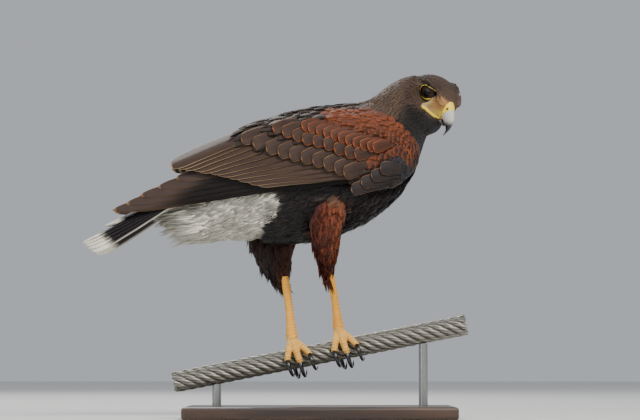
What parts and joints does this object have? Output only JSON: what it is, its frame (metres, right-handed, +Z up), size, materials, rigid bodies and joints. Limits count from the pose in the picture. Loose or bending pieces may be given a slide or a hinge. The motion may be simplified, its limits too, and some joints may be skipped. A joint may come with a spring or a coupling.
{
  "type": "harris hawk",
  "caption": "Still life-size bird of prey standing on a short length of stranded cable, carried by a flat base with rods, head turned to its right.",
  "frame": {"origin": "middle of the display base's underside, on the floor", "axes": "+X the way the bird's body faces, from tail to breast; +Y its left side; +Z up"},
  "size_m": [0.4344, 0.16, 0.387],
  "materials": {
    "plumage_dark": "matt dark brown feathers, cream under the tail",
    "plumage_rust": "matt chestnut and dark brown feathers with buff edges",
    "leg_skin": "scaly orange-yellow skin",
    "cere_skin": "smooth bright yellow skin",
    "horn": "satin blue-grey to black horn",
    "eye": "wet glossy dark brown",
    "cable_steel": "weathered galvanised wire",
    "rod_steel": "satin rod",
    "base_wood": "dark stained wood"
  },
  "bodies": {
    "root": {"torso": "plumage_dark", "neck": "plumage_dark", "head": "plumage_dark", "tail": "plumage_dark", "wing_right": "plumage_rust", "wing_left": "plumage_rust", "thigh_right": "plumage_rust", "thigh_left": "plumage_rust", "leg_right": "leg_skin", "leg_left": "leg_skin", "cere": "cere_skin", "bill_upper": "horn", "bill_lower": "horn", "eye_right": "eye", "eye_left": "eye", "claw_right_inner": "horn", "claw_right_middle": "horn", "claw_right_outer": "horn", "claw_right_hind": "horn", "claw_left_inner": "horn", "claw_left_middle": "horn", "claw_left_outer": "horn", "claw_left_hind": "horn", "perch_cable": "cable_steel", "stand_base": "base_wood", "stand_rod_1": "rod_steel", "stand_rod_2": "rod_steel"}
  },
  "joints": []
}
